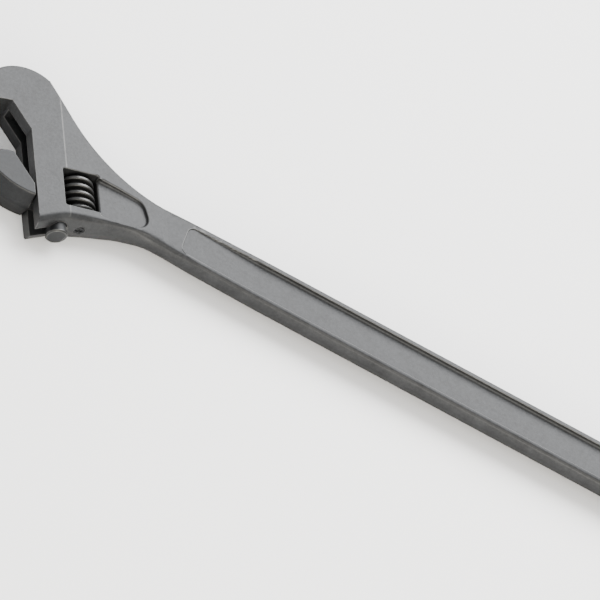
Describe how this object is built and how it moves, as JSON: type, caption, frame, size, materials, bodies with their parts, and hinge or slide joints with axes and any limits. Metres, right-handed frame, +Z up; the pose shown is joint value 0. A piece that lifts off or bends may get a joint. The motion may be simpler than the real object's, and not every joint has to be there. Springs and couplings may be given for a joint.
{
  "type": "adjustable wrench",
  "caption": "Large forged adjustable wrench: fixed hooked jaw, worm-driven sliding jaw with a round rack bar, and a long I-section handle with a hanging hole.",
  "frame": {"origin": "middle of the fixed jaw's gripping face, at mid thickness", "axes": "+X along the handle towards its hanging hole, +Z through the thickness, towards the face the picture shows; the wrench lies flat with Z up"},
  "size_m": [0.6169, 0.1325, 0.03],
  "materials": {
    "forged_body": "grey phosphated forging, satin",
    "forged_jaw": "grey phosphated forging, bar turned bright",
    "worm_steel": "machined, lightly phosphated",
    "pin_steel": "darkened steel",
    "spring_steel": "drawn wire"
  },
  "bodies": {
    "wrench_body": {"body": "forged_body", "worm_pin": "pin_steel", "worm_spring": "spring_steel"},
    "jaw": {"sliding_jaw": "forged_jaw"},
    "screw": {"worm": "worm_steel"}
  },
  "joints": [
    {"name": "jaw_slide", "type": "slide", "parent": "wrench_body", "child": "jaw", "axis": [0.3827, -0.9239, 0], "range_m": [-0.0453, 0.0165]},
    {"name": "worm_spin", "type": "hinge", "parent": "wrench_body", "child": "screw", "pos_m": [0.0875, -0.03893, 0], "axis": [-0.3827, 0.9239, 0], "range_deg": [-960, 2600]}
  ],
  "couplings": [
    {"joint": "worm_spin", "follows": "jaw_slide", "rad_per_m": -981.75}
  ]
}
